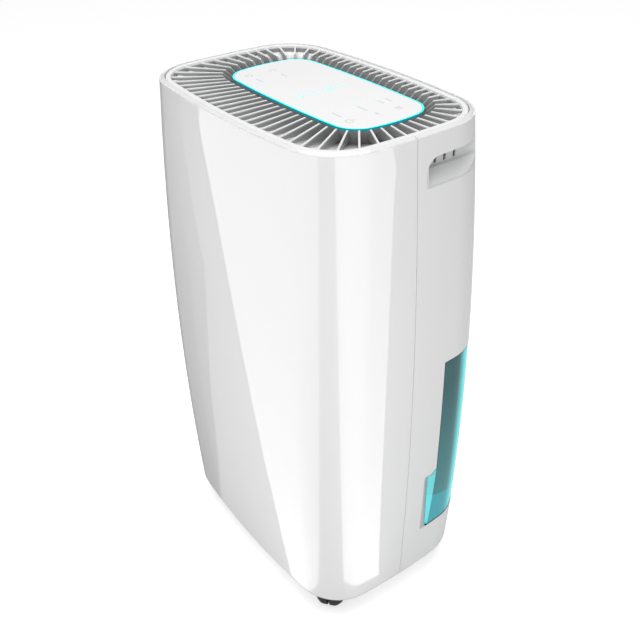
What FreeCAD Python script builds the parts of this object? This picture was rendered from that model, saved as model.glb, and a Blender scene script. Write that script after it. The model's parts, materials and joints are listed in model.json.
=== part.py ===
import FreeCAD, Part
import Sketcher
import math
import os
from types import SimpleNamespace

# Portable dehumidifier, in millimetres.  +Z is up, the front faces -Y, and the origin is on
# the floor under the centre of the casing.  The casing is a barrel: a crowned rounded
# rectangle in plan whose width and depth swell towards the middle of its height.

Vector = FreeCAD.Vector
Rotation = FreeCAD.Rotation
Placement = FreeCAD.Placement
UP = Vector(0, 0, 1)
ACROSS = Vector(0, 1, 0)
ORIGIN = Vector(0, 0, 0)
# where the discharge pipe and the suction pipe pass the deck
PIPE_HOLES = [(134, -10), (144, -30)]

DRIVING_SIZES = {
    # casing barrel
    "half_width": 175.0, "half_depth": 118.8, "front_crown": 1152.0, "side_crown": 804.0,
    "corner_radius": 58.7, "width_bow": 0.0001189, "width_level": 290.8,
    "depth_bow": 0.0000981, "depth_level": 252.2, "base_level": 25.0, "top_level": 590.0,
    "top_round": 6.6, "base_round": 11.0, "wall": 2.8, "lining_gap": 0.5,
    "seam_at": 2.0, "seam_gap": 0.6, "lip_level": 573.0, "rim_width": 5.2, "flange_inset": 22.0,
    # outlet grille
    "grille_gap": 0.7, "grille_inner_inset": 11.5, "grille_low": 579.0, "grille_high": 589.6,
    "slat_count": 64.0, "slat_thick": 1.8, "slat_high": 588.0, "kink_level": 587.3,
    "kink_offset": 10.8, "slat_phase": 0.5, "funnel_high": 584.0, "funnel_low": 573.0,
    "funnel_thick": 1.6, "funnel_throat": 6.5, "slat_foot": 577.0, "hub_low": 563.0,
    "hub_high": 582.4, "hub_wall": 3.0,
    # control panel
    "panel_half_width": 113.4, "panel_half_depth": 53.8, "panel_corner": 28.8,
    "panel_front_crown": 1306.0, "panel_side_crown": 166.0, "panel_shift": 18.8,
    "panel_high": 584.6, "light_low": 582.45, "light_width": 1.7, "cover_gap": 0.15,
    "tray_low": 573.0, "tray_high": 577.0, "board_low": 575.5, "board_thick": 1.6,
    # hand grips
    "grip_low": 539.0, "grip_high": 567.0, "grip_front": 9.5, "grip_inner": 146.0,
    "grip_ridge_level": 550.0, "grip_ridge": 153.0, "grip_wall": 2.2, "grip_round_high": 15.0,
    # water tank and its bay
    "tank_low": 94.4, "tank_high": 334.0, "tank_front": 43.8, "ear_front": 34.4,
    "ear_high": 177.0, "tank_skin_gap": 0.5, "tank_wall": 2.6, "bay_gap": 1.0,
    "bay_wall": 2.4, "lid_thick": 4.0, "scoop_front": 24.5, "scoop_high": 181.0,
    "scoop_depth": 12.0, "scoop_wall": 1.6, "ramp_shallow": 172.7, "ramp_deep": 168.9,
    "ramp_rear": 32.4, "bevel_inner": 167.5, "bevel_outer": 171.9, "bevel_rear": 43.6,
    "float_pin_radius": 2.0,
    "float_y": 56.0, "float_level": 320.0, "drip_x": 60.0, "drip_y": 78.0,
    # rear inlet
    "inlet_half_width": 125.0, "inlet_low": 378.0, "inlet_high": 548.0, "inlet_gap": 1.2,
    "slot_high": 5.4, "slot_pitch": 10.0, "slot_rows": 15.0, "inlet_rim": 10.0,
    # air path
    "fan_level": 452.0, "fan_radius": 72.0, "fan_rear": 12.0, "fan_front": -38.0,
    "shaft_radius": 4.0, "scroll_radius": 102.0, "scroll_wall": 2.4, "scroll_top": 558.0,
    "scroll_front": -44.0, "scroll_rear": 20.0,
    "blade_count": 36.0, "coil_half_width": 112.0, "coil_low": 354.0, "coil_high": 540.0,
    "fin_count": 25.0, "fin_thick": 1.2, "tube_radius": 4.5, "deck_level": 341.0, "deck_thick": 3.0,
    # refrigeration
    "compressor_x": 34.0, "compressor_y": -36.0, "compressor_radius": 52.0,
    "compressor_low": 66.0, "compressor_high": 226.0, "pipe_radius": 3.2,
    # casters
    "caster_x": 118.0, "caster_y": 65.0, "caster_trail": 14.0, "caster_angle": -51.0,
    "wheel_radius": 18.0, "wheel_gap": 1.6, "wheel_half_track": 17.0, "axle_radius": 2.5,
    "stem_radius": 4.0, "well_radius": 33.2, "running_fit": 0.05,
    # drain and cord
    "drain_x": 96.0, "drain_level": 353.0, "spigot_radius": 7.0, "cord_x": -95.0,
    "cord_level": 62.0, "cord_bore": 3.75,
}


class Dim:
    """A size that carries its number and the spreadsheet expression it comes from."""

    def __init__(self, value, text):
        self.value = value
        self.text = text

    def __float__(self):
        return self.value

    def _join(self, other, sign, value):
        return Dim(value, f"({self.text} {sign} {as_dim(other).text})")

    def __add__(self, other):
        return self._join(other, "+", self.value + float(other))

    def __sub__(self, other):
        return self._join(other, "-", self.value - float(other))

    def __mul__(self, other):
        return self._join(other, "*", self.value * float(other))

    def __truediv__(self, other):
        return self._join(other, "/", self.value / float(other))

    def __radd__(self, other):
        return as_dim(other) + self

    def __rsub__(self, other):
        return as_dim(other) - self

    def __rmul__(self, other):
        return as_dim(other) * self

    def __neg__(self):
        return self * -1


def as_dim(size):
    return size if isinstance(size, Dim) else Dim(float(size), f"({size:g})")


doc = FreeCAD.newDocument("dehumidifier")
sheet = doc.addObject("Spreadsheet::Sheet", "sizes")
for row, (alias, number) in enumerate(DRIVING_SIZES.items(), start=1):
    sheet.set(f"A{row}", alias.replace("_", " "))
    sheet.set(f"B{row}", repr(number))
    sheet.setAlias(f"B{row}", alias)
doc.recompute()
S = SimpleNamespace(**{
    alias: Dim(float(sheet.get(alias)), f"sizes.{alias}") for alias in DRIVING_SIZES
})
nodes = {}


# ---------------------------------------------------------------- document helpers

def bind(thing, path, size):
    """Bind one property of a document object to a spreadsheet expression."""
    thing.setExpression(path, as_dim(size).text)


def node(name, thing):
    """Name a finished sub-part; the name is also its file's name."""
    thing.Label = name
    nodes[name] = thing
    return thing


def block(x, y, z):
    """A box from three (low, high) pairs."""
    box = doc.addObject("Part::Box", "block")
    for path, (low, high) in zip(("Length", "Width", "Height"), (x, y, z)):
        bind(box, path, as_dim(high) - low)
    for path, (low, high) in zip("xyz", (x, y, z)):
        bind(box, f"Placement.Base.{path}", low)
    return box


def rod(radius, start, length, axis="z"):
    """A cylinder from the point start, along +axis."""
    cylinder = doc.addObject("Part::Cylinder", "rod")
    turns = {"z": Rotation(), "x": Rotation(Vector(0, 1, 0), 90), "y": Rotation(Vector(1, 0, 0), -90)}
    cylinder.Placement = Placement(ORIGIN, turns[axis])
    bind(cylinder, "Radius", radius)
    bind(cylinder, "Height", length)
    for path, place in zip("xyz", start):
        bind(cylinder, f"Placement.Base.{path}", place)
    return cylinder


def cut(base, *tools):
    result = doc.addObject("Part::Cut", "cut")
    result.Base = base
    result.Tool = tools[0] if len(tools) == 1 else fuse(*tools)
    return result


def common(base, tool):
    result = doc.addObject("Part::Common", "common")
    result.Base = base
    result.Tool = tool
    return result


def fuse(*things):
    result = doc.addObject("Part::MultiFuse", "fuse")
    result.Shapes = list(things)
    return result


def shaped(name, shape):
    """A sub-part whose shape is worked out in code, for forms that no feature makes."""
    thing = doc.addObject("Part::Feature", name)
    thing.Shape = shape
    return thing


def new_sketch(body, role="XY_Plane", level=0, shift_y=0):
    """A sketch on one of the body's own origin planes, raised by level along its normal."""
    plane = [feature for feature in body.Origin.OriginFeatures if feature.Role == role][0]
    sketch = body.newObject("Sketcher::SketchObject", "sketch")
    sketch.AttachmentSupport = (plane, [""])
    sketch.MapMode = "FlatFace"
    bind(sketch, "AttachmentOffset.Base.z", level)
    bind(sketch, "AttachmentOffset.Base.y", shift_y)
    return sketch


def datum(sketch, kind, *references, size):
    """A dimension bound to the sheet."""
    size = as_dim(size)
    index = sketch.addConstraint(Sketcher.Constraint(kind, *references, float(size)))
    bind(sketch, f"Constraints[{index}]", size)


def pin_point(sketch, line, end, x, y):
    """Hold one point at (x, y) from the sketch's origin."""
    for kind, size, own_axis in (("DistanceX", as_dim(x), -2), ("DistanceY", as_dim(y), -1)):
        if abs(size.value) < 1e-9:
            sketch.addConstraint(Sketcher.Constraint("PointOnObject", line, end, own_axis))
        elif size.value > 0:
            datum(sketch, kind, -1, 1, line, end, size=size)
        else:
            datum(sketch, kind, line, end, -1, 1, size=-size)


def polygon(sketch, points):
    """A closed outline of straight lines through the given points."""
    corners = [Vector(float(x), float(y), 0) for x, y in points]
    following = corners[1:] + corners[:1]
    lines = [Part.LineSegment(start, end) for start, end in zip(corners, following)]
    ids = sketch.addGeometry(lines, False)
    for line, after in zip(ids, ids[1:] + ids[:1]):
        sketch.addConstraint(Sketcher.Constraint("Coincident", line, 2, after, 1))
    for line, (x, y) in zip(ids, points):
        pin_point(sketch, line, 1, x, y)


def circle(sketch, x, y, radius):
    disc = Part.Circle(Vector(float(x), float(y), 0), UP, float(radius))
    index = sketch.addGeometry(disc, False)
    pin_point(sketch, index, 3, x, y)
    datum(sketch, "Radius", index, size=radius)


def pad(body, sketch, length, both_ways=False):
    feature = body.newObject("PartDesign::Pad", "pad")
    feature.Profile = sketch
    feature.Midplane = both_ways
    bind(feature, "Length", length)
    return feature


def pocket(body, sketch, length):
    """Cut the sketch upwards, along the normal of its plane."""
    feature = body.newObject("PartDesign::Pocket", "pocket")
    feature.Profile = sketch
    feature.Reversed = True
    bind(feature, "Length", length)
    return feature


def prism(points, half_width):
    """A body with a profile in the YZ plane, padded to both sides along X."""
    body = doc.addObject("PartDesign::Body", "prism")
    sketch = new_sketch(body, "YZ_Plane")
    polygon(sketch, points)
    pad(body, sketch, as_dim(half_width) * 2, both_ways=True)
    return body


# ---------------------------------------------------------------- crowned outlines

def corner_centre(outline):
    """Centre of the corner arc that touches both the front and the side arc inside."""
    width, depth, front, side, corner = (float(size) for size in outline)
    x, y = width - corner, depth - corner
    for _ in range(40):
        to_front = math.hypot(x, y - depth + front)
        to_side = math.hypot(x - width + side, y)
        front_miss = to_front - front + corner
        side_miss = to_side - side + corner
        a, b = x / to_front, (y - depth + front) / to_front
        c, d = (x - width + side) / to_side, y / to_side
        determinant = a * d - b * c
        x -= (front_miss * d - side_miss * b) / determinant
        y -= (a * side_miss - c * front_miss) / determinant
    return x, y


def outline_angles(outline):
    """Directions, from +X, in which the side arc and the front arc meet the corner arc."""
    width, depth, front, side, corner = (float(size) for size in outline)
    x, y = corner_centre(outline)
    return math.atan2(y, x - width + side), math.atan2(y - depth + front, x)


def outline_arcs(outline):
    """The eight arcs, counter-clockwise from the right side."""
    width, depth, front, side, corner = (float(size) for size in outline)
    x, y = corner_centre(outline)
    low, high = outline_angles(outline)
    half = math.pi
    arcs = (
        (width - side, 0, side, -low, low), (x, y, corner, low, high),
        (0, depth - front, front, high, half - high), (-x, y, corner, half - high, half - low),
        (side - width, 0, side, half - low, half + low), (-x, -y, corner, half + low, half + high),
        (0, front - depth, front, half + high, 2 * half - high),
        (x, -y, corner, 2 * half - high, 2 * half - low),
    )
    return [
        Part.ArcOfCircle(Part.Circle(Vector(cx, cy, 0), UP, radius), start, end)
        for cx, cy, radius, start, end in arcs
    ]


def crowned(body, level, outline, shift_y=0):
    """A sketch of eight tangent arcs: crowned sides and round corners."""
    width, depth, front, side, corner = (as_dim(size) for size in outline)
    sketch = new_sketch(body, "XY_Plane", level, shift_y)
    ids = sketch.addGeometry(outline_arcs(outline), False)
    for arc, after in zip(ids, ids[1:] + ids[:1]):
        sketch.addConstraint(Sketcher.Constraint("Tangent", arc, 2, after, 1))
    for arc, axis in ((0, -1), (4, -1), (2, -2), (6, -2)):
        sketch.addConstraint(Sketcher.Constraint("PointOnObject", ids[arc], 3, axis))
    for first, second in ((0, 4), (2, 6), (1, 3), (3, 5), (5, 7)):
        sketch.addConstraint(Sketcher.Constraint("Equal", ids[first], ids[second]))
    datum(sketch, "Radius", ids[0], size=side)
    datum(sketch, "Radius", ids[2], size=front)
    datum(sketch, "Radius", ids[1], size=corner)
    datum(sketch, "DistanceX", ids[0], 3, -1, 1, size=side - width)
    datum(sketch, "DistanceX", -1, 1, ids[4], 3, size=side - width)
    datum(sketch, "DistanceY", ids[2], 3, -1, 1, size=front - depth)
    datum(sketch, "DistanceY", -1, 1, ids[6], 3, size=front - depth)
    return sketch


def casing_outline(level, inset=0):
    """Outline of the casing at a level, moved in by inset."""
    up_from_width = as_dim(level) - S.width_level
    up_from_depth = as_dim(level) - S.depth_level
    return (
        S.half_width - S.width_bow * up_from_width * up_from_width - inset,
        S.half_depth - S.depth_bow * up_from_depth * up_from_depth - inset,
        S.front_crown - inset, S.side_crown - inset, S.corner_radius - inset,
    )


def panel_outline(inset=0):
    """Outline of the control panel, moved in by inset; its centre is shift_y behind the origin."""
    return (
        S.panel_half_width - inset, S.panel_half_depth - inset,
        S.panel_front_crown - inset, S.panel_side_crown - inset, S.panel_corner - inset,
    )


def loft(body, sketches):
    feature = body.newObject("PartDesign::AdditiveLoft", "loft")
    feature.Profile = sketches[0]
    feature.Sections = sketches[1:]
    return feature


def barrel(inset, low, high, low_round=None, high_round=None):
    """The casing's barrel moved in by inset, between two levels, with rounded ends."""
    body = doc.addObject("PartDesign::Body", "barrel")
    main_low = low + low_round if low_round else as_dim(low)
    main_high = high - high_round if high_round else as_dim(high)
    fifth = (main_high - main_low) / 4
    main = [crowned(body, main_low + fifth * k, casing_outline(main_low + fifth * k, inset))
            for k in range(5)]
    loft(body, main)
    turns = [math.radians(angle) for angle in (30, 60, 80, 90)]
    for start, level, radius, sign in ((main[-1], main_high, high_round, 1),
                                       (main[0], main_low, low_round, -1)):
        if radius:
            rounds = [crowned(body, level + radius * (sign * math.sin(turn)),
                              casing_outline(level, inset + radius * (1 - math.cos(turn))))
                      for turn in turns]
            loft(body, [start] + rounds)
    return body


def upright(outline, low, high, shift_y=0):
    """A crowned outline padded straight up."""
    body = doc.addObject("PartDesign::Body", "upright")
    pad(body, crowned(body, low, outline, shift_y), as_dim(high) - low)
    return body


def upright_band(outline, inner, low, high, shift_y=0):
    """An upright wall between two crowned outlines."""
    body = doc.addObject("PartDesign::Body", "band")
    pad(body, crowned(body, low, outline, shift_y), as_dim(high) - low)
    pocket(body, crowned(body, low, inner, shift_y), as_dim(high) - low)
    return body


def round_top(body, level, radius):
    """Round every edge that lies in the body's top face."""
    doc.recompute()
    base = body.Tip
    edges = [f"Edge{index + 1}" for index, edge in enumerate(base.Shape.Edges)
             if edge.BoundBox.ZMin > float(level) - 0.01]
    feature = body.newObject("PartDesign::Fillet", "rounding")
    feature.Base = (base, edges)
    feature.Radius = radius
    body.Tip = feature


BEYOND = 200
wide = (-BEYOND, BEYOND)
CORNERS = (("front_left", -1, -1), ("front_right", 1, -1), ("rear_left", -1, 1), ("rear_right", 1, 1))
SIDES = (("left", -1), ("right", 1))
SCREWS = ([(x * 60, y * 97.5) for x in (-1, 1) for y in (-1, 1)]
          + [(x * 150, y * 16) for x in (-1, 1) for y in (-1, 1)])


def side_span(side, inner, outer):
    """The (low, high) pair along X of something between inner and outer on one side."""
    return (as_dim(inner), as_dim(outer)) if side > 0 else (-as_dim(outer), -as_dim(inner))


# ---------------------------------------------------------------- casings

def tank_profile(grow):
    """Side profile of the water tank, grown by a gap: a tall box with a lower ear in front."""
    return [
        (S.ear_front - grow, S.tank_low - grow), (BEYOND, S.tank_low - grow),
        (BEYOND, S.tank_high + grow), (S.tank_front - grow, S.tank_high + grow),
        (S.tank_front - grow, S.ear_high + 7 + grow), (S.ear_front - grow, S.ear_high + grow),
    ]


def round_edges(solid, radius, picks):
    """Round the edges of a part whose centres lie on one side of the test in picks."""
    doc.recompute()
    result = doc.addObject("Part::Fillet", "rounded")
    result.Base = solid
    result.Edges = [(index + 1, float(radius), float(radius))
                    for index, edge in enumerate(solid.Shape.Edges) if picks(edge)]
    return result


def grip_window(side, grow=0):
    """The hand opening in the side, open to the rear corner; its front top corner is round."""
    window = block(side_span(side, S.grip_inner - grow, BEYOND),
                   (S.grip_front - grow, BEYOND),
                   (S.grip_low - grow, S.grip_high + grow))

    def is_front_top(edge):
        middle = edge.BoundBox.Center
        return (edge.BoundBox.XLength > 10 and middle.y < float(S.grip_front) + 1
                and middle.z > float(S.grip_high) - 1)

    return round_edges(window, S.grip_round_high + grow, is_front_top)


def scoop_window(side, grow=0):
    """The finger recess beside the tank's ear, with two round front corners."""
    outer = float(casing_outline(137)[0])
    window = block(side_span(side, as_dim(outer) - S.scoop_depth - grow, BEYOND),
                   (S.scoop_front - grow, S.ear_front - S.bay_gap + 0.2),
                   (S.tank_low - S.bay_gap - grow, S.scoop_high + grow))

    def is_front(edge):
        middle = edge.BoundBox.Center
        return edge.BoundBox.XLength > 10 and middle.y < float(S.scoop_front) - grow + 1

    return round_edges(window, 4 + grow, is_front)


def make_casings():
    envelope = barrel(0, S.base_level, S.top_level, S.base_round, S.top_round)
    cavity = barrel(S.wall, S.base_level + S.wall, S.lip_level, S.base_round - S.wall)
    mouth = upright(casing_outline(S.top_level, S.rim_width), S.lip_level - 5, S.top_level + 10)
    underside = upright(casing_outline(S.base_level, S.flange_inset), 0, S.base_level + 5)
    wells = [rod(S.well_radius, (S.caster_x * x, S.caster_y * y, 0), S.base_level + 5)
             for _, x, y in CORNERS]
    screw_holes = [rod(2.1, (x, y, 20), 12) for x, y in SCREWS]
    head_seats = [rod(3.9, (x, y, 20), S.base_level - 20 + 2.6) for x, y in SCREWS]
    shell = cut(envelope, cavity, mouth, underside, *wells, *screw_holes, *head_seats)
    seam_front = -S.seam_at - S.seam_gap / 2
    seam_rear = -S.seam_at + S.seam_gap / 2
    node("front_casing", common(shell, block(wide, (-BEYOND, seam_front), (0, 620))))
    rear_half = common(shell, block(wide, (seam_rear, BEYOND), (0, 620)))
    openings = [prism(tank_profile(S.bay_gap), BEYOND), inlet_window(0)]
    for _, side in SIDES:
        openings += [grip_window(side), scoop_window(side)]
    openings.append(rod(14.8, (S.drain_x, 90, S.drain_level), 60, "y"))
    openings.append(rod(6.2, (S.cord_x, 90, S.cord_level), 60, "y"))
    node("rear_casing", cut(rear_half, *openings))
    return envelope, cavity, shell


def inlet_window(shrink):
    """The air inlet in the rear wall, with round corners."""
    window = block((-S.inlet_half_width + shrink, S.inlet_half_width - shrink), (60, BEYOND),
                   (S.inlet_low + shrink, S.inlet_high - shrink))
    return round_edges(window, 8, lambda edge: edge.BoundBox.YLength > 50)


# ---------------------------------------------------------------- outlet grille

def outline_walk(outline, count, phase):
    """Evenly spaced points on an outline, each with its outward direction."""
    arcs = outline_arcs(outline)
    lengths = [arc.length() for arc in arcs]
    pitch = sum(lengths) / count
    # the walk starts in the middle of the front side, which is the seventh arc
    start = sum(lengths[:6]) + lengths[6] / 2
    for k in range(count):
        along = (start + pitch * (k + phase)) % sum(lengths)
        for arc, length in zip(arcs, lengths):
            if along <= length:
                break
            along -= length
        angle = arc.FirstParameter + along / arc.Radius
        direction = Vector(math.cos(angle), math.sin(angle), 0)
        yield arc.Center + direction * arc.Radius, direction


def reach(point, direction, outline):
    """Distance from a point inside an outline to the outline, along a direction."""
    edges = [arc.toShape() for arc in outline_arcs(outline)]
    ray = Part.LineSegment(point, point + direction * BEYOND).toShape()
    return min(ray.distToShape(edge)[1][0][0].distanceToPoint(point)
               for edge in edges if ray.distToShape(edge)[0] < 1e-6)


def slat_direction(point, outward, half_width, half_depth):
    """Slats fan like the normals of an ellipse in front, and follow the outline behind."""
    if point.y > 0:
        return outward
    across = min(abs(point.x) / half_width, 0.9995)
    lean = math.atan2(across * half_depth / half_width, math.sqrt(1 - across * across))
    return Vector(math.copysign(math.sin(lean), point.x), -math.cos(lean), 0)


def slat(kink, direction, length, inward):
    """One upright slat: flat on top, bent down towards the hub, its foot along the funnel."""
    throat = inward * 0.62
    profile = (
        (length + 2.5, S.slat_high), (0, S.kink_level), (-inward, S.slat_foot),
        (-inward, S.hub_low + 4), (-throat, S.funnel_low - 1),
        (-throat, S.funnel_low + 1.4), (length, S.funnel_high + 1.2), (length + 2.5, S.funnel_high + 1.2),
    )
    corners = [kink + direction * float(run) + UP * float(level) for run, level in profile]
    across = direction.cross(UP) * float(S.slat_thick)
    corners = [corner - across * 0.5 for corner in corners]
    return Part.Face(Part.makePolygon(corners + corners[:1])).extrude(across)


def make_slats():
    """All slats of the grille, as one group for the fuse."""
    offset = -float(S.kink_offset)
    kink_outline = panel_outline(offset)
    ring_outline = casing_outline(S.top_level, S.grille_inner_inset)
    shift = Vector(0, float(S.panel_shift), 0)
    slats = []
    for point, outward in outline_walk(kink_outline, int(S.slat_count.value), S.slat_phase.value):
        direction = slat_direction(point, outward, float(kink_outline[0]), float(kink_outline[1]))
        kink = point + shift
        length = reach(kink, direction, ring_outline)
        inward = reach_inward(point, direction, panel_outline(0.5))
        slats.append(slat(kink, direction, length, inward + 1.0))
    return shaped("slats", Part.makeCompound(slats))


def reach_inward(point, direction, outline):
    """Distance from a point outside an outline to its near side, going against a direction."""
    edges = [arc.toShape() for arc in outline_arcs(outline)]
    ray = Part.LineSegment(point, point - direction * 60).toShape()
    distances = [ray.distToShape(edge)[1][0][0].distanceToPoint(point)
                 for edge in edges if ray.distToShape(edge)[0] < 1e-6]
    return min(distances)


def make_grille():
    outer_inset = S.rim_width + S.grille_gap
    ring = upright_band(casing_outline(S.top_level, outer_inset),
                        casing_outline(S.top_level, S.grille_inner_inset), S.grille_low, S.grille_high)
    round_top(ring, S.grille_high, 1.2)
    hub = upright_band(panel_outline(0.4), panel_outline(S.hub_wall + 0.4), S.hub_low, S.hub_high,
                       S.panel_shift)
    node("outlet_grille", fuse(ring, hub, make_slats()))


def make_funnel():
    """The dished floor under the slats: it slopes down to the throat around the hub."""
    outer = casing_outline(S.top_level, S.grille_inner_inset + 0.3)
    inner = panel_outline(-S.funnel_throat)
    bowls = []
    for drop in (S.funnel_thick, 0):
        body = doc.addObject("PartDesign::Body", "bowl")
        loft(body, [crowned(body, S.funnel_high - drop, outer),
                    crowned(body, S.funnel_low - drop, inner, S.panel_shift)])
        bowls.append(body)
    throat = upright(inner, S.funnel_low - 10, S.funnel_high, S.panel_shift)
    node("outlet_funnel", cut(bowls[0], bowls[1], throat))


# ---------------------------------------------------------------- control panel

def make_panel():
    """A light ring and a touch cover that rest on the hub, over a tray that holds the board."""
    node("light_ring", upright_band(panel_outline(0), panel_outline(S.light_width),
                                    S.light_low, S.panel_high - 0.2, S.panel_shift))
    cover = upright(panel_outline(S.light_width + S.cover_gap), S.light_low, S.panel_high,
                    S.panel_shift)
    round_top(cover, S.panel_high, 0.6)
    node("panel_cover", cover)
    tray_inset, tray_wall = S.hub_wall + 0.8, 2.5
    plate = upright(panel_outline(tray_inset), S.tray_low, S.tray_high, S.panel_shift)
    hollow = upright(panel_outline(tray_inset + tray_wall), S.tray_low + tray_wall, S.tray_high + 5,
                     S.panel_shift)
    node("panel_tray", cut(plate, hollow))
    half_length, half_depth = 90, 38
    board = block((-half_length, half_length),
                  (S.panel_shift - half_depth, S.panel_shift + half_depth),
                  (S.board_low, S.board_low + S.board_thick))
    node("touch_board", board)


# ---------------------------------------------------------------- side grips and scoops

def make_grips():
    """Each grip: a ramp up to a ridge, an inner wall behind it and three ribbed slots."""
    clear = 0.3
    for name, side in SIDES:
        outside = barrel(0, S.grip_low - 8, S.grip_high + 8)
        ramp = prism_across(side, [
            (S.grip_inner + 2, S.grip_low + clear), (BEYOND, S.grip_low + clear),
            (S.half_width - 9, S.grip_low + clear + 0.6), (S.grip_ridge, S.grip_ridge_level),
            (S.grip_inner + 2, S.grip_ridge_level)])
        back = block(side_span(side, S.grip_inner + clear, S.grip_inner + S.grip_wall),
                     (S.grip_front + clear, 110), (S.grip_low + clear, S.grip_high - clear))
        slots = [block(side_span(side, S.grip_inner - 5, S.grip_inner + 10), (y, y + 3.4),
                       (S.grip_ridge_level + 1, S.grip_high - 2)) for y in (34, 46, 58)]
        front = block(side_span(side, S.grip_inner + clear, BEYOND),
                      (S.grip_front + clear, S.grip_front + clear + 1.6),
                      (S.grip_low + clear, S.grip_high - clear))
        whole = common(cut(fuse(ramp, back, front), *slots), grip_window(side, -clear))
        node(f"{name}_grip", common(whole, outside))


def prism_across(side, points):
    """A prism along Y from a profile in the XZ plane, on one side."""
    body = doc.addObject("PartDesign::Body", "ramp")
    sketch = new_sketch(body, "XZ_Plane", -110)
    polygon(sketch, [(as_dim(x) * side, z) for x, z in points])
    pad(body, sketch, 110 - S.grip_front - 0.3)
    return body


def prism_up(side, points, low, high):
    """A prism along Z from a profile in the XY plane, on one side."""
    body = doc.addObject("PartDesign::Body", "wedge")
    sketch = new_sketch(body, level=low)
    polygon(sketch, [(as_dim(x) * side, y) for x, y in points])
    pad(body, sketch, as_dim(high) - low)
    return body


def make_scoops():
    """Each scoop: a shallow cup with a ramp that runs in towards the tank's ear."""
    for name, side in SIDES:
        outside = barrel(0.3, S.tank_low - 8, S.scoop_high + 8)
        cup = scoop_window(side, -0.25)
        hollow = scoop_window(side, -0.25 - S.scoop_wall.value)
        ramp = prism_up(side, [
            (S.ramp_deep - 20, S.scoop_front), (S.ramp_shallow, S.scoop_front),
            (S.ramp_deep, S.ramp_rear), (S.ramp_deep - 20, S.ramp_rear)],
            S.tank_low - 8, S.scoop_high + 8)
        node(f"{name}_scoop", common(cut(cup, cut(hollow, ramp)), outside))


# ---------------------------------------------------------------- water tank

def make_bay(liner):
    outer = prism([
        (S.ear_front - S.bay_gap - S.bay_wall, S.tank_low - S.bay_gap - S.bay_wall),
        (BEYOND, S.tank_low - S.bay_gap - S.bay_wall),
        (BEYOND, S.tank_high + S.bay_gap + S.bay_wall),
        (S.ear_front - S.bay_gap - S.bay_wall, S.tank_high + S.bay_gap + S.bay_wall)], BEYOND)
    upper_front = block(wide, (0, S.tank_front - S.bay_gap - S.bay_wall),
                        (S.ear_high + 7 + S.bay_gap + S.bay_wall, S.tank_high + S.bay_gap))
    scoops = [scoop_window(side, 0.3) for _, side in SIDES]
    nozzle = rod(6.4, (S.drip_x, S.drip_y, 320), 30)
    switch_slot = block((-6, 6), (30, 60), (322, 327))
    node("tank_bay", cut(common(liner, outer), prism(tank_profile(S.bay_gap), BEYOND), upper_front,
                         *scoops, nozzle, switch_slot))


def ear_bevel(side, inward):
    """What the bevel takes off the ear's outer front edge, moved in by a wall's thickness."""
    shift_x, shift_y = as_dim(inward) * -0.9, as_dim(inward) * 0.43
    front, rear = S.ear_front + shift_y, S.bevel_rear + shift_y
    return prism_up(side, [
        (S.bevel_inner + shift_x, front), (S.bevel_inner + shift_x, front - 5),
        (BEYOND, front - 5), (BEYOND, rear), (S.bevel_outer + shift_x, rear)],
        S.tank_low - 5, S.tank_high)


def make_tank():
    outside = barrel(S.tank_skin_gap, S.tank_low - 5, S.tank_high + 5)
    inside = barrel(S.tank_skin_gap + S.tank_wall, S.tank_low - 5, S.tank_high + 5)
    lid_low = S.tank_high - S.lid_thick
    shell = cut(common(outside, prism(tank_profile(0), BEYOND)),
                *[ear_bevel(side, 0) for _, side in SIDES])
    core = common(inside, prism([
        (S.ear_front + S.tank_wall, S.tank_low + S.tank_wall), (BEYOND, S.tank_low + S.tank_wall),
        (BEYOND, S.tank_high + 9), (S.tank_front + S.tank_wall, S.tank_high + 9),
        (S.tank_front + S.tank_wall, S.ear_high + 7), (S.ear_front + S.tank_wall, S.ear_high - 1)],
        BEYOND))
    hollow = cut(core, *[ear_bevel(side, S.tank_wall) for _, side in SIDES])
    above = block(wide, (0, BEYOND), (lid_low - 0.1, S.tank_high + 9))
    node("tank_shell", cut(shell, hollow, above))
    plate = common(common(outside, prism(tank_profile(0), BEYOND)),
                   block(wide, (0, BEYOND), (lid_low, S.tank_high)))
    pour = block((-150, -70), (66, 92), (lid_low - 5, S.tank_high + 5))
    funnel = block((S.drip_x - 14, S.drip_x + 14), (S.drip_y - 12, S.drip_y + 12),
                   (lid_low - 5, S.tank_high + 5))
    recess = block((-45, 45), (62, 98), (S.tank_high - 1.6, S.tank_high + 5))
    ears = [block((x, x + 3), (S.float_y - 4, S.float_y + 4), (S.float_level - 4.5, lid_low))
            for x in (-13.5, 10.5)]
    pin_hole = rod(S.float_pin_radius, (-20, S.float_y, S.float_level), 40, "x")
    node("tank_lid", cut(fuse(plate, *ears), pour, funnel, recess, pin_hole))
    node("float_pin", rod(S.float_pin_radius - 0.02, (-13.5, S.float_y, S.float_level), 27, "x"))
    arm = block((-4, 4), (S.float_y - 3.5, S.float_y + 30), (S.float_level - 2.5, S.float_level + 2.5))
    knuckle = rod(4.5, (-9, S.float_y, S.float_level), 18, "x")
    foam = block((-22, 22), (S.float_y + 18, S.float_y + 42), (S.float_level - 36, S.float_level - 14))
    stem = block((-4, 4), (S.float_y + 24, S.float_y + 30), (S.float_level - 16, S.float_level + 2.5))
    bore = rod(S.float_pin_radius + S.running_fit, (-12, S.float_y, S.float_level), 24, "x")
    node("tank_float", cut(fuse(arm, knuckle, foam, stem), bore))


# ---------------------------------------------------------------- rear inlet and air path

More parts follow.
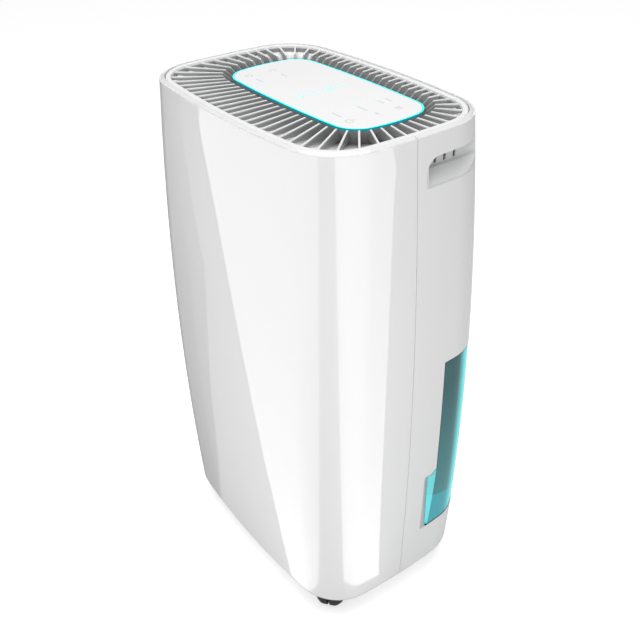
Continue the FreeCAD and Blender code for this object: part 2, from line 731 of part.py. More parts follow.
def make_inlet(shell):
    panel = common(shell, inlet_window(S.inlet_gap))
    slots = []
    across = (float(S.inlet_half_width) - float(S.inlet_rim)) / 2
    for row in range(int(S.slot_rows.value)):
        low = S.inlet_low + S.inlet_rim + 2 + S.slot_pitch * row
        for column in range(4):
            left = -2 * across + column * across
            slots.append(block((left + 2, left + across - 2), (60, BEYOND), (low, low + S.slot_high)))
    node("inlet_grille", cut(panel, *slots))
    mesh = block((-114, 114), (97.6, 98.4), (S.inlet_low + 8, S.inlet_high - 10))
    node("filter_mesh", mesh)
    outer = block((-118, 118), (96, 100), (S.inlet_low + 4, S.inlet_high - 6))
    inner = block((-113.8, 113.8), (90, 110), (S.inlet_low + 8.2, S.inlet_high - 10.2))
    node("filter_frame", cut(outer, inner, block((-114.2, 114.2), (97.4, 98.6),
                                                 (S.inlet_low + 7.8, S.inlet_high - 9.8))))


def make_coil(name, front, rear):
    """Fins on a serpentine of straight tubes that run along X."""
    pitch = S.coil_half_width * 2 / (S.fin_count - 1)
    fins = []
    for k in range(int(S.fin_count.value)):
        low = -S.coil_half_width + pitch * k
        fins.append(block((low - S.fin_thick / 2, low + S.fin_thick / 2), (front, rear),
                          (S.coil_low, S.coil_high)))
    tubes = [rod(S.tube_radius, (-S.coil_half_width - 4, (front + rear) / 2, S.coil_low + 14 + 22.5 * k),
                 S.coil_half_width * 2 + 8, "x") for k in range(8)]
    node(name, fuse(*fins, *tubes))


def make_fan():
    """A centrifugal fan wheel: back plate, curved row of blades, front rim and boss."""
    body = doc.addObject("PartDesign::Body", "impeller")
    back = new_sketch(body, "XZ_Plane", -S.fan_front)
    circle(back, 0, S.fan_level, S.fan_radius)
    plate = pad(body, back, 2)
    plate.Reversed = True
    doc.recompute()
    blade = Part.makeBox(1.6, 46, 15, Vector(-0.8, float(S.fan_front) + 1.5, 56))
    blade.rotate(Vector(0, 0, 63), ACROSS, 28)
    row = []
    for k in range(int(S.blade_count.value)):
        copy = blade.copy()
        copy.rotate(ORIGIN, ACROSS, 360.0 * k / S.blade_count.value)
        copy.translate(Vector(0, 0, float(S.fan_level)))
        row.append(copy)
    blade_row = shaped("blades", Part.makeCompound(row))
    rim = cut(rod(S.fan_radius, (0, S.fan_front + 46, S.fan_level), 2, "y"),
              rod(55, (0, S.fan_front + 40, S.fan_level), 12, "y"))
    boss = rod(10, (0, S.fan_front, S.fan_level), 22, "y")
    bore = rod(S.shaft_radius, (0, S.fan_front - 10, S.fan_level), 60, "y")
    node("fan_wheel", cut(fuse(body, blade_row, rim, boss), bore))
    node("fan_shaft", rod(S.shaft_radius - 0.02, (0, -60, S.fan_level), 42, "y"))


def make_scroll():
    """The fan's housing: a drum that opens upwards, with an air inlet behind."""
    wall, radius, level = S.scroll_wall, S.scroll_radius, S.fan_level
    low, high = S.scroll_front, S.scroll_rear
    outer = fuse(rod(radius, (0, low, level), high - low, "y"),
                 block((-radius, radius), (low, high), (level, S.scroll_top)))
    inner = fuse(rod(radius - wall, (0, low + wall, level), high - low - wall * 2, "y"),
                 block((-radius + wall, radius - wall), (low + wall, high - wall),
                       (level, S.scroll_top + 9)))
    inlet = rod(58, (0, 10, level), 20, "y")
    shaft_hole = rod(12, (0, -60, level), 30, "y")
    node("fan_scroll", cut(outer, inner, inlet, shaft_hole))


def make_motor():
    can = rod(36, (0, -96, S.fan_level), 44, "y")
    flange = rod(44, (0, -52.2, S.fan_level), 4, "y")
    neck = rod(9, (0, -50, S.fan_level), 7, "y")
    bore = rod(S.shaft_radius + 0.03, (0, -62, S.fan_level), 40, "y")
    node("fan_motor", cut(fuse(can, flange, neck), bore))


# ---------------------------------------------------------------- lower works

def make_tray(liner):
    plate = common(liner, block(wide, (-BEYOND, BEYOND), (S.base_level + 3.4, S.base_level + 6.4)))
    cups = [rod(S.well_radius + 1.8, (S.caster_x * x, S.caster_y * y, S.base_level + 6), 11.5)
            for _, x, y in CORNERS]
    bosses = [rod(9, (S.caster_x * x, S.caster_y * y, S.base_level + 16), 20) for _, x, y in CORNERS]
    hollows = [rod(S.well_radius, (S.caster_x * x, S.caster_y * y, 0), S.base_level + 15)
               for _, x, y in CORNERS]
    bores = [rod(S.stem_radius + S.running_fit, (S.caster_x * x, S.caster_y * y, 0), 90)
             for _, x, y in CORNERS]
    screw_bores = [rod(2.0, (x, y, 20), 30) for x, y in SCREWS]
    node("base_tray", cut(fuse(plate, *cups, *bosses), *hollows, *bores, *screw_bores))


def make_lower_works():
    deck = block((-160, 160), (-98, 26), (S.deck_level, S.deck_level + S.deck_thick))
    holes = [rod(6, (x, y, 300), 80) for x, y in PIPE_HOLES]
    node("deck", cut(round_edges(deck, 50, lambda edge: edge.BoundBox.ZLength > 2
                                 and edge.BoundBox.Center.y < 0), *holes))
    low, high = S.deck_level, S.coil_low - 1
    tub = block((-122, 122), (28, 95.5), (low, high))
    hollow = block((-119.5, 119.5), (30.5, 93), (low + 2.5, high + 9))
    nozzle = rod(5.8, (S.drip_x, S.drip_y, S.tank_high + 2.4), low - S.tank_high - 1.4)
    drip = rod(3.6, (S.drip_x, S.drip_y, 320), 40)
    node("drip_tray", cut(fuse(tub, nozzle), hollow, drip))
    x, y = S.compressor_x, S.compressor_y
    can = rod(S.compressor_radius, (x, y, S.compressor_low), S.compressor_high - S.compressor_low)
    can = round_edges(can, 16, lambda edge: edge.BoundBox.XLength > 50 and edge.BoundBox.ZLength < 1)
    foot = block((x - 50, x + 50), (y - 24, y + 24), (S.compressor_low - 3, S.compressor_low + 1))
    stub = rod(6, (x, y, S.compressor_high - 3), 9)
    side = rod(17, (x - 74, y, 96), 92)
    link = rod(4, (x - 74, y, 176), 30, "x")
    node("compressor", fuse(can, foot, stub, side, link))
    feet = [rod(8, (x + dx, y + dy, S.base_level + 6.6), S.compressor_low - S.base_level - 9.7)
            for dx in (-40, 40) for dy in (-16, 16)]
    node("rubber_mounts", doc.addObject("Part::Compound", "mounts"))
    nodes["rubber_mounts"].Links = feet
    node("capacitor", rod(19, (-125, 8, 120), 80))
    node("capacitor_strap", cut(rod(21.5, (-125, 8, 150), 14), rod(19.2, (-125, 8, 140), 40)))
    box = block((-118, -62), (-86, -34), (70, 176))
    node("power_box", round_edges(box, 4, lambda edge: edge.BoundBox.ZLength > 50))


def make_pipes():
    """Copper pipes: straight runs joined by bends."""
    x, y = float(S.compressor_x), float(S.compressor_y)
    top = float(S.compressor_high) + 6.3
    coil_end = float(S.coil_half_width) + 4.2
    condenser_y, evaporator_y = 46, 79
    condenser_tube, evaporator_tube = 525.5, 503
    (discharge_x, discharge_y), (suction_x, suction_y) = PIPE_HOLES
    routes = {
        "discharge_pipe": [
            (x, y, top), (x, y, top + 26), (discharge_x, discharge_y, top + 26),
            (discharge_x, discharge_y, 380), (discharge_x, condenser_y, 380),
            (discharge_x, condenser_y, condenser_tube), (coil_end, condenser_y, condenser_tube)],
        "suction_pipe": [
            (x - 74, y, 188.3), (x - 74, y, 262), (100, -84, 262), (suction_x, suction_y, 300),
            (suction_x, suction_y, 400), (suction_x, evaporator_y, 430),
            (suction_x, evaporator_y, evaporator_tube), (coil_end, evaporator_y, evaporator_tube)],
    }
    for name, points in routes.items():
        path = bent_path([Vector(*point) for point in points], 9)
        ring = Part.Wire(Part.Circle(Vector(*points[0]), UP, float(S.pipe_radius)).toShape())
        node(name, shaped(name, path.makePipeShell([ring], True, True)))


def bent_path(points, bend):
    """A wire of straight runs with a bend of the same radius at every corner."""
    edges = []
    start = points[0]
    for before, corner, after in zip(points, points[1:], points[2:]):
        back = (before - corner).normalize()
        ahead = (after - corner).normalize()
        half = back.getAngle(ahead) / 2
        setback = bend / math.tan(half)
        enter, leave = corner + back * setback, corner + ahead * setback
        middle = corner + (back + ahead).normalize() * (bend / math.sin(half) - bend)
        edges += [Part.LineSegment(start, enter).toShape(), Part.Arc(enter, middle, leave).toShape()]
        start = leave
    edges.append(Part.LineSegment(start, points[-1]).toShape())
    return Part.Wire(edges)


# ---------------------------------------------------------------- casters

def make_fork(trail, radius, gap):
    """A fork built with its trail along +X and its axle along Y: one web between the wheels."""
    thick, start = gap * 2 - 0.6, 0.3 - gap
    web = Part.makeBox(trail + 13, thick, 16, Vector(-9, start, radius - 5))
    arch = Part.makeBox(16, thick, 12, Vector(-8, start, radius + 8))
    hub = Part.makeCylinder(6, thick, Vector(trail, start, radius), ACROSS)
    head = Part.makeCylinder(8.5, 3, Vector(0, 0, radius + 18.5))
    neck = Part.makeCylinder(7, 9, Vector(-1.5, 0, radius + 10))
    stem = Part.makeCylinder(float(S.stem_radius), 24, Vector(0, 0, radius + 18))
    bore = Part.makeCylinder(float(S.axle_radius) + 0.05, 60, Vector(trail, -30, radius), ACROSS)
    wheel_space = Part.makeCylinder(radius + 1.2, 60, Vector(trail, -30, radius), ACROSS)
    return web.fuse([hub, head, neck.cut(wheel_space), stem, arch]).cut(bore).removeSplitter()


def make_wheel(trail, radius, gap, half_track):
    """One domed wheel, on the +Y side of the fork."""
    bore, tread_edge, face_radius = 3.2, gap + 6, radius * 0.5
    corners = [Vector(bore, gap, 0), Vector(radius, gap, 0), Vector(radius, tread_edge, 0),
               Vector(face_radius, half_track, 0), Vector(bore, half_track, 0)]
    dome = Part.Arc(corners[2], Vector(radius - 3.4, gap + 11.5, 0), corners[3]).toShape()
    lines = [Part.LineSegment(corners[k], corners[(k + 1) % 5]).toShape() for k in (0, 1, 3, 4)]
    outline = Part.Wire([lines[0], lines[1], dome, lines[2], lines[3]])
    wheel = Part.Face(outline).revolve(ORIGIN, ACROSS, 360)
    wheel.translate(Vector(trail, 0, radius))
    return wheel


def make_axle(trail, radius, gap, half_track):
    """The axle, with a collar inside each wheel."""
    pin = Part.makeCylinder(float(S.axle_radius), half_track * 2 - 2,
                            Vector(trail, 1 - half_track, radius), ACROSS)
    collars = [Part.makeCylinder(3.15, half_track - gap - 1.4, Vector(trail, start, radius), ACROSS)
               for start in (1.4 - half_track, gap + 0.4)]
    return pin.fuse(collars)


def make_casters():
    angle = math.radians(S.caster_angle.value)
    trail, radius = float(S.caster_trail), float(S.wheel_radius)
    gap, half_track = float(S.wheel_gap), float(S.wheel_half_track)
    for name, x, y in CORNERS:
        centre = Vector(float(S.caster_x) * x, float(S.caster_y) * y, 0)
        heading = math.degrees(math.atan2(math.sin(angle) * -y, math.cos(angle) * x))
        turn = Placement(centre, Rotation(UP, heading))
        wheel = make_wheel(trail, radius, gap, half_track)
        wheels = Part.makeCompound([wheel.mirror(ORIGIN, ACROSS), wheel])
        axle = make_axle(trail, radius, gap, half_track)
        node(f"caster_fork_{name}", shaped("fork", make_fork(trail, radius, gap))).Placement = turn
        node(f"caster_wheels_{name}", shaped("wheels", wheels)).Placement = turn
        node(f"caster_axle_{name}", shaped("axle", axle)).Placement = turn


# ---------------------------------------------------------------- drain, cord and fixings

def make_fittings():
    x, level = S.drain_x, S.drain_level
    cup = cut(rod(14.3, (x, 97.5, level), 18.5, "y"), rod(12.4, (x, 99.5, level), 30, "y"))
    spigot = rod(S.spigot_radius, (x, 98, level), 16, "y")
    node("drain_port", cut(fuse(cup, spigot), rod(4.0, (x, 80, level), 60, "y")))
    plug = rod(3.9, (x, 102, level), 14, "y")
    head = rod(6.4, (x, 114.3, level), 2.2, "y")
    node("drain_bung", fuse(plug, head))
    flange = cut(rod(9.5, (S.cord_x, 105, S.cord_level), 9.6, "y"), envelope)
    gland = fuse(rod(6.0, (S.cord_x, 103, S.cord_level), 12.5, "y"), flange)
    node("cord_gland", cut(gland, rod(S.cord_bore, (S.cord_x, 90, S.cord_level), 60, "y")))
    node("tank_switch", block((-5, 5), (36, 40.2), (323, 326.4)))
    heads = []
    for place_x, place_y in SCREWS:
        heads.append(fuse(rod(1.95, (place_x, place_y, S.base_level + 0.4), 9.5),
                          rod(3.6, (place_x, place_y, S.base_level + 0.2), 2.2)))
    screws = doc.addObject("Part::Compound", "screws")
    screws.Links = heads
    node("casing_screws", screws)


def check_and_write():
    doc.recompute()
    problems = []
    for thing in doc.Objects:
        if "Invalid" in thing.State or "Error" in thing.State:
            problems.append(f"{thing.Label}: {thing.State}")
    for name, thing in nodes.items():
        if thing.Shape.isNull() or not thing.Shape.isValid() or not thing.Shape.Solids:
            problems.append(f"{name}: no valid solid")
    if problems:
        raise RuntimeError("; ".join(problems))
    os.makedirs("parts", exist_ok=True)
    for name, thing in nodes.items():
        thing.Shape.exportStep(f"parts/{name}.step")
        print(name, len(thing.Shape.Solids), round(thing.Shape.Volume), thing.Shape.BoundBox)


envelope, cavity, shell = make_casings()
make_grille()
make_funnel()
make_panel()
make_grips()
make_scoops()
liner = barrel(S.wall + S.lining_gap, S.base_level + S.wall + S.lining_gap, S.lip_level - 1,
               S.base_round - S.wall - S.lining_gap)
make_bay(liner)
make_tank()
make_inlet(shell)
make_coil("evaporator", 66, 92)
make_coil("condenser", 34, 60)
make_fan()
make_scroll()
make_motor()
make_tray(liner)
make_lower_works()
make_pipes()
make_casters()
make_fittings()
check_and_write()
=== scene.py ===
import json
import math

import bmesh
import bpy
import numpy as np
from mathutils import Matrix, Vector

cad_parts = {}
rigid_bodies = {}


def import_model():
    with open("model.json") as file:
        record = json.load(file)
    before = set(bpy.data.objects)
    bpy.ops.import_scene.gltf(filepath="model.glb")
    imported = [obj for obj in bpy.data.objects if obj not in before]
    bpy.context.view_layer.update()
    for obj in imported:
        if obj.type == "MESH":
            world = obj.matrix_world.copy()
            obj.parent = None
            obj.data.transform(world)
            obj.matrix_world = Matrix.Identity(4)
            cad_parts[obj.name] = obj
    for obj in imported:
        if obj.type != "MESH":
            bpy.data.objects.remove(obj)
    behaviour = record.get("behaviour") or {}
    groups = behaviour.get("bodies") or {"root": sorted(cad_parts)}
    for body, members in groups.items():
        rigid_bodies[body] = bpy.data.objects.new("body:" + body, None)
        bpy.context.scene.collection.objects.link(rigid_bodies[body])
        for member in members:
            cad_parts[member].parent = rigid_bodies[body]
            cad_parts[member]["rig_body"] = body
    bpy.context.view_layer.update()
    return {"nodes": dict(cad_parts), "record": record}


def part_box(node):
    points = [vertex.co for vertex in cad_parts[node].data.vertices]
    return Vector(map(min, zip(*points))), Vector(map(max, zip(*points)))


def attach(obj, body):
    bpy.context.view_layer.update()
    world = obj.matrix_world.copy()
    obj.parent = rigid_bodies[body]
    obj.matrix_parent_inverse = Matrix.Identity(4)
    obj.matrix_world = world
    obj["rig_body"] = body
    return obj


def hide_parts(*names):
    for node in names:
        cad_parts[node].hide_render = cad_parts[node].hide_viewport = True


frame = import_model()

# The casing is a barrel: a crowned rounded rectangle in plan whose sides bow in height. Half its
# width is HALF_WIDTH - WIDTH_BOW * (z - WIDTH_LEVEL) ** 2, and its depth goes the same way.
# Every length is in metres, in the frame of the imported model.
CASING_LOW, CASING_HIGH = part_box("front_casing")
TOP_LEVEL, BASE_LEVEL = CASING_HIGH.z, CASING_LOW.z
HALF_WIDTH, HALF_DEPTH = 0.175, 0.1188
WIDTH_BOW, WIDTH_LEVEL = 0.1189, 0.2908
DEPTH_BOW, DEPTH_LEVEL = 0.0981, 0.2522
FRONT_CROWN, SIDE_CROWN, CORNER = 1.152, 0.804, 0.0587
CAD_TOP_ROUND, TOP_ROUND, BASE_ROUND = 0.0066, 0.0028, 0.011
# How near to the barrel a point counts as on it: to be moved onto it, on the rim, to have its
# edges split, and to take the barrel's normal.
ON_SURFACE, ON_RIM, ON_EDGE, ON_NORMAL = 0.0009, 0.0003, 0.0002, 0.00012
# A dark strip in the gap round the tank, as painted shade: half its width, how far it stands in, and how
# deep it is.
GAP_SHADE_HALF_WIDTH, GAP_SHADE_INSET, GAP_SHADE_DEPTH = 0.00043, 0.0001, 0.0024
# The levels between which painted shade darkens the outlet's slats and the funnel under them.
SLAT_LEVELS, FUNNEL_LEVELS = (0.5862, 0.5872), (0.5735, 0.5805)
# Brightness of the stage: the world and the floor, the floor's cards, and the lights in watts.
WORLD_LEVEL, FLOOR_LIFT = 0.5, 0.5
FRONT_CARD, SIDE_CARD, SHADE_CARD, HALF_CARD = 2.3, 3.2, 0.24, 0.36
OVERHEAD_POWER, KEY_POWER = 12, 15.5
FLOOR_HALF_SIZE = 60
SCENE = bpy.context.scene


# ---------------------------------------------------------------- barrel surface

def barrel_frame(points, inset=0.0, top_round=TOP_ROUND):
    """Distance outside the barrel's outline and the barrel's outward normal, for an (n, 3) array."""
    x, y, z = np.abs(points[:, 0]), np.abs(points[:, 1]), points[:, 2]
    low, high = BASE_LEVEL + BASE_ROUND, TOP_LEVEL - top_round
    rise = np.clip((z - high) / top_round, 0, 1) - np.clip((low - z) / BASE_ROUND, 0, 1)
    round_inset = np.where(z > high, top_round, BASE_ROUND) * (1 - np.sqrt(1 - rise * rise))
    moved = inset + round_inset
    width = HALF_WIDTH - WIDTH_BOW * (z - WIDTH_LEVEL) ** 2 - moved
    depth = HALF_DEPTH - DEPTH_BOW * (z - DEPTH_LEVEL) ** 2 - moved
    front, side, corner = FRONT_CROWN - moved, SIDE_CROWN - moved, CORNER - moved
    # The centre of the corner's circle, which touches both crowns, by Newton's method.
    cx, cy = width - corner, depth - corner
    for _ in range(12):
        to_front, to_side = np.hypot(cx, cy - depth + front), np.hypot(cx - width + side, cy)
        miss_front, miss_side = to_front - front + corner, to_side - side + corner
        a, b = cx / to_front, (cy - depth + front) / to_front
        c, d = (cx - width + side) / to_side, cy / to_side
        determinant = a * d - b * c
        cx = cx - (miss_front * d - miss_side * b) / determinant
        cy = cy - (a * miss_side - c * miss_front) / determinant
    side_end = np.arctan2(cy, cx - width + side)
    front_start = np.arctan2(cy - depth + front, cx)
    side_angle = np.arctan2(y, x - width + side)
    front_angle = np.arctan2(y - depth + front, x)
    corner_angle = np.arctan2(y - cy, x - cx)
    on_side, on_front = side_angle < side_end, front_angle > front_start
    angle = np.where(on_side, side_angle, np.where(on_front, front_angle, corner_angle))
    radial = np.where(on_side, np.hypot(x - width + side, y) - side,
                      np.where(on_front, np.hypot(x, y - depth + front) - front,
                               np.hypot(x - cx, y - cy) - corner))
    lean = (2 * WIDTH_BOW * (z - WIDTH_LEVEL) * np.abs(np.cos(angle))
            + 2 * DEPTH_BOW * (z - DEPTH_LEVEL) * np.abs(np.sin(angle)))
    flat = np.sqrt(1 - rise * rise)
    normal = np.stack([np.cos(angle) * np.sign(points[:, 0]) * flat,
                       np.sin(angle) * np.sign(points[:, 1]) * flat,
                       rise + lean * flat], axis=1)
    normal /= np.linalg.norm(normal, axis=1)[:, None]
    return radial, normal


def make_piece(bm, name):
    """A new piece in the scene from a bmesh, which is freed."""
    mesh = bpy.data.meshes.new(name)
    bm.to_mesh(mesh)
    bm.free()
    piece = bpy.data.objects.new(name, mesh)
    SCENE.collection.objects.link(piece)
    return piece


def split_long_edges(bm, longest, on_surface):
    """Halve edges until none between two chosen vertices is longer than longest."""
    for _ in range(9):
        long_edges = [edge for edge in bm.edges
                      if edge.calc_length() > longest and on_surface(edge)]
        if not long_edges:
            break
        bmesh.ops.subdivide_edges(bm, edges=long_edges, cuts=1)
        bmesh.ops.triangulate(bm, faces=[face for face in bm.faces if len(face.verts) > 3])


def tighten_rim(bm):
    """The rim's rounding is tighter than the CAD's: its points move out onto the smaller round."""
    points = np.array([vert.co for vert in bm.verts], float)
    miss, _ = barrel_frame(points, top_round=CAD_TOP_ROUND)
    flat_points = points * (1, 1, 0) + (0, 0, TOP_LEVEL - CAD_TOP_ROUND)
    _, outward = barrel_frame(flat_points, top_round=CAD_TOP_ROUND)
    for vert, distance, normal in zip(bm.verts, miss, outward):
        rise = (vert.co.z - TOP_LEVEL + CAD_TOP_ROUND) / CAD_TOP_ROUND
        if rise > -0.01 and abs(distance) < ON_RIM:
            rise = min(max(rise, 0.0), 1.0)
            run = 1 - math.sqrt(1 - rise * rise)
            flat = Vector((normal[0], normal[1], 0)).normalized()
            vert.co += flat * (CAD_TOP_ROUND - TOP_ROUND) * run
            vert.co.z = TOP_LEVEL - TOP_ROUND * (1 - rise)


def refined(node, name, longest=0.009, inset=0.0, crease=32):
    """A finer copy of a CAD node: its barrel faces are subdivided onto the true barrel and
    shaded with the barrel's own normals, and the rest is smoothed up to the crease angle."""
    bm = bmesh.new()
    bm.from_mesh(frame["nodes"][node].data)
    bmesh.ops.remove_doubles(bm, verts=bm.verts, dist=2e-6)
    bmesh.ops.dissolve_degenerate(bm, edges=bm.edges, dist=1e-6)
    bm.verts.ensure_lookup_table()
    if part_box(node)[1].z > TOP_LEVEL - CAD_TOP_ROUND:
        tighten_rim(bm)

    def near(verts):
        points = np.array([vert.co for vert in verts], float).reshape(-1, 3)
        return barrel_frame(points, inset)

    distance, _ = near(bm.verts)
    outer = bm.verts.layers.int.new("outer")
    for vert, miss in zip(bm.verts, distance):
        vert[outer] = int(abs(miss) < ON_EDGE and vert.co.z < TOP_LEVEL - 1e-5)
    split_long_edges(bm, longest, lambda edge: edge.verts[0][outer] and edge.verts[1][outer]
                     and abs(edge.calc_face_angle(0)) < 0.6)
    distance, normals = near(bm.verts)
    for vert, miss, normal in zip(bm.verts, distance, normals):
        if abs(miss) < ON_SURFACE and BASE_LEVEL + BASE_ROUND < vert.co.z < TOP_LEVEL - TOP_ROUND:
            flat = Vector((normal[0], normal[1], 0)).normalized()
            vert.co -= flat * float(miss)
    piece = make_piece(bm, name)
    piece.data.update()
    shade(piece.data, inset, crease)
    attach(piece, frame["nodes"][node]["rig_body"])
    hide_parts(node)
    return piece


def shade(mesh, inset, crease):
    """Custom normals: the barrel's on barrel faces, and area-weighted smoothing up to the crease
    angle elsewhere. Every face is a triangle."""
    count = len(mesh.polygons)
    corners, faces, areas = np.zeros(count * 3, int), np.zeros(count * 3), np.zeros(count)
    mesh.loops.foreach_get("vertex_index", corners)
    mesh.polygons.foreach_get("normal", faces)
    mesh.polygons.foreach_get("area", areas)
    points = np.zeros(len(mesh.vertices) * 3)
    mesh.vertices.foreach_get("co", points)
    distance, barrel = barrel_frame(points.reshape(-1, 3), inset)
    own = np.repeat(faces.reshape(-1, 3), 3, axis=0)
    weighted = own * (np.repeat(areas, 3)[:, None] + 1e-12)
    total = weighted.copy()
    order = np.argsort(corners, kind="stable")
    limit = math.cos(math.radians(crease))
    step = 1
    while step < len(order):
        first, second = order[:-step], order[step:]
        same = corners[first] == corners[second]
        if not same.any():
            break
        first, second = first[same], second[same]
        smooth = np.einsum("ij,ij->i", own[first], own[second]) > limit
        first, second = first[smooth], second[smooth]
        np.add.at(total, first, weighted[second])
        np.add.at(total, second, weighted[first])
        step += 1
    total /= np.maximum(np.linalg.norm(total, axis=1), 1e-12)[:, None]
    agrees = np.einsum("ij,ij->i", own, barrel[corners]) > 0.9
    fits = (np.abs(distance[corners]) < ON_NORMAL) & agrees
    barrel_corners = np.repeat(fits.reshape(-1, 3).all(axis=1), 3)
    total[barrel_corners] = barrel[corners][barrel_corners]
    mesh.polygons.foreach_set("use_smooth", np.ones(count, bool))
    mesh.normals_split_custom_set(total.tolist())


# ---------------------------------------------------------------- materials

def new_material(name):
    material = bpy.data.materials.new(name)
    material.use_nodes = True
    nodes, links = material.node_tree.nodes, material.node_tree.links
    return material, nodes, links, nodes["Principled BSDF"]


def add_noise(nodes, links, scale, detail=3.0, roughness=0.55):
    """A noise in the object's own coordinates."""
    coordinates = nodes.new("ShaderNodeTexCoord")
    noise = nodes.new("ShaderNodeTexNoise")
    noise.inputs["Scale"].default_value = scale
    noise.inputs["Detail"].default_value = detail
    noise.inputs["Roughness"].default_value = roughness
    links.new(coordinates.outputs["Object"], noise.inputs["Vector"])
    return noise


def add_bump(nodes, links, shader, height, strength, distance):
    bump = nodes.new("ShaderNodeBump")
    bump.inputs["Strength"].default_value = strength
    bump.inputs["Distance"].default_value = distance
    links.new(height, bump.inputs["Height"])
    links.new(bump.outputs["Normal"], shader.inputs["Normal"])


def add_ramp(nodes, links, factor, stops):
    ramp = nodes.new("ShaderNodeValToRGB")
    elements = ramp.color_ramp.elements
    while len(elements) < len(stops):
        elements.new(0.5)
    for element, (position, color) in zip(elements, stops):
        element.position = position
        element.color = (*color, 1)
    links.new(factor, ramp.inputs["Fac"])
    return ramp


def mapped(nodes, links, value, start, end):
    """A number remapped so that start gives 0 and end gives 1, and held within that range."""
    remap = nodes.new("ShaderNodeMapRange")
    remap.inputs["From Min"].default_value = start
    remap.inputs["From Max"].default_value = end
    links.new(value, remap.inputs["Value"])
    return remap.outputs["Result"]


def vary_gloss(nodes, links, shader, noise, smoothest, roughest):
    """Roughness that drifts between two values with a noise."""
    gloss = nodes.new("ShaderNodeMapRange")
    gloss.inputs["To Min"].default_value = smoothest
    gloss.inputs["To Max"].default_value = roughest
    links.new(noise.outputs["Fac"], gloss.inputs["Value"])
    links.new(gloss.outputs["Result"], shader.inputs["Roughness"])


def moulded(name, color, roughness=0.4, vary=0.03, grain=900.0, grain_depth=0.00003, coat=0.0,
            coat_roughness=0.03, strength=0.25):
    """Moulded plastic: a slow drift of tone, a slight drift of gloss and a fine grain."""
    material, nodes, links, shader = new_material(name)
    drift = add_noise(nodes, links, 7.0, 2.0)
    low = tuple(max(0.0, channel - vary) for channel in color)
    high = tuple(min(1.0, channel + vary * 0.5) for channel in color)
    ramp = add_ramp(nodes, links, drift.outputs["Fac"], [(0.3, low), (0.7, high)])
    links.new(ramp.outputs["Color"], shader.inputs["Base Color"])
    vary_gloss(nodes, links, shader, add_noise(nodes, links, 35.0), roughness - 0.04, roughness + 0.04)
    shader.inputs["Coat Weight"].default_value = coat
    shader.inputs["Coat Roughness"].default_value = coat_roughness
    fine = add_noise(nodes, links, grain, 2.0)
    add_bump(nodes, links, shader, fine.outputs["Fac"], strength, grain_depth)
    return material


def shadowed(name, deep, pale, levels, roughness=0.4):
    """White plastic greyed with depth by painted shade: deep at the first of two levels and pale at the
    second.
    """
    material, nodes, links, shader = new_material(name)
    coordinates = nodes.new("ShaderNodeTexCoord")
    split = nodes.new("ShaderNodeSeparateXYZ")
    links.new(coordinates.outputs["Object"], split.inputs["Vector"])
    depth = mapped(nodes, links, split.outputs["Z"], *levels)
    ramp = add_ramp(nodes, links, depth, [(0.0, deep), (1.0, pale)])
    links.new(ramp.outputs["Color"], shader.inputs["Base Color"])
    vary_gloss(nodes, links, shader, add_noise(nodes, links, 40.0), roughness - 0.05, roughness + 0.05)
    fine = add_noise(nodes, links, 700.0, 2.0)
    add_bump(nodes, links, shader, fine.outputs["Fac"], 0.1, 0.00002)
    return material


def metal(name, color, roughness, brushed=False):
    """Bare metal with a drift of tone and gloss, which is stretched level where it is brushed."""
    material, nodes, links, shader = new_material(name)
    shader.inputs["Metallic"].default_value = 1.0
    noise = add_noise(nodes, links, 60.0)
    if brushed:
        stretch = nodes.new("ShaderNodeMapping")
        stretch.inputs["Scale"].default_value = (1.0, 1.0, 30.0)
        coordinates = nodes.new("ShaderNodeTexCoord")
        links.new(coordinates.outputs["Object"], stretch.inputs["Vector"])
        links.new(stretch.outputs["Vector"], noise.inputs["Vector"])
    dark = tuple(channel * 0.82 for channel in color)
    ramp = add_ramp(nodes, links, noise.outputs["Fac"], [(0.3, dark), (0.7, color)])
    links.new(ramp.outputs["Color"], shader.inputs["Base Color"])
    vary_gloss(nodes, links, shader, noise, roughness * 0.7, roughness * 1.3)
    add_bump(nodes, links, shader, noise.outputs["Fac"], 0.15, 0.00005)
    return material


def glowing(name, color, edge_color, strength):
    """A light guide: bright where it faces up, deeper on its upright sides."""
    material, nodes, links, shader = new_material(name)
    geometry = nodes.new("ShaderNodeNewGeometry")
    split = nodes.new("ShaderNodeSeparateXYZ")
    links.new(geometry.outputs["Normal"], split.inputs["Vector"])
    ramp = add_ramp(nodes, links, split.outputs["Z"], [(0.15, edge_color), (0.75, color)])
    noise = add_noise(nodes, links, 25.0)
    mix = nodes.new("ShaderNodeMix")
    mix.data_type = "RGBA"
    mix.blend_type = "MULTIPLY"
    mix.inputs["Factor"].default_value = 0.25
    links.new(ramp.outputs["Color"], mix.inputs["A"])
    links.new(noise.outputs["Color"], mix.inputs["B"])
    links.new(mix.outputs["Result"], shader.inputs["Base Color"])
    links.new(ramp.outputs["Color"], shader.inputs["Emission Color"])
    shader.inputs["Emission Strength"].default_value = strength
    shader.inputs["Roughness"].default_value = 0.12
    return material


def mixed(nodes, links, factor, first, second, blend="MIX"):
    """Two colours mixed; the factor is a number or an output, and second a colour or an output."""
    mix = nodes.new("ShaderNodeMix")
    mix.data_type = "RGBA"
    mix.blend_type = blend
    links.new(first, mix.inputs["A"])
    for source, socket in ((factor, mix.inputs["Factor"]), (second, mix.inputs["B"])):
        if isinstance(source, (float, tuple)):
            socket.default_value = source if isinstance(source, float) else (*source, 1)
        else:
            links.new(source, socket)
    return mix.outputs["Result"]


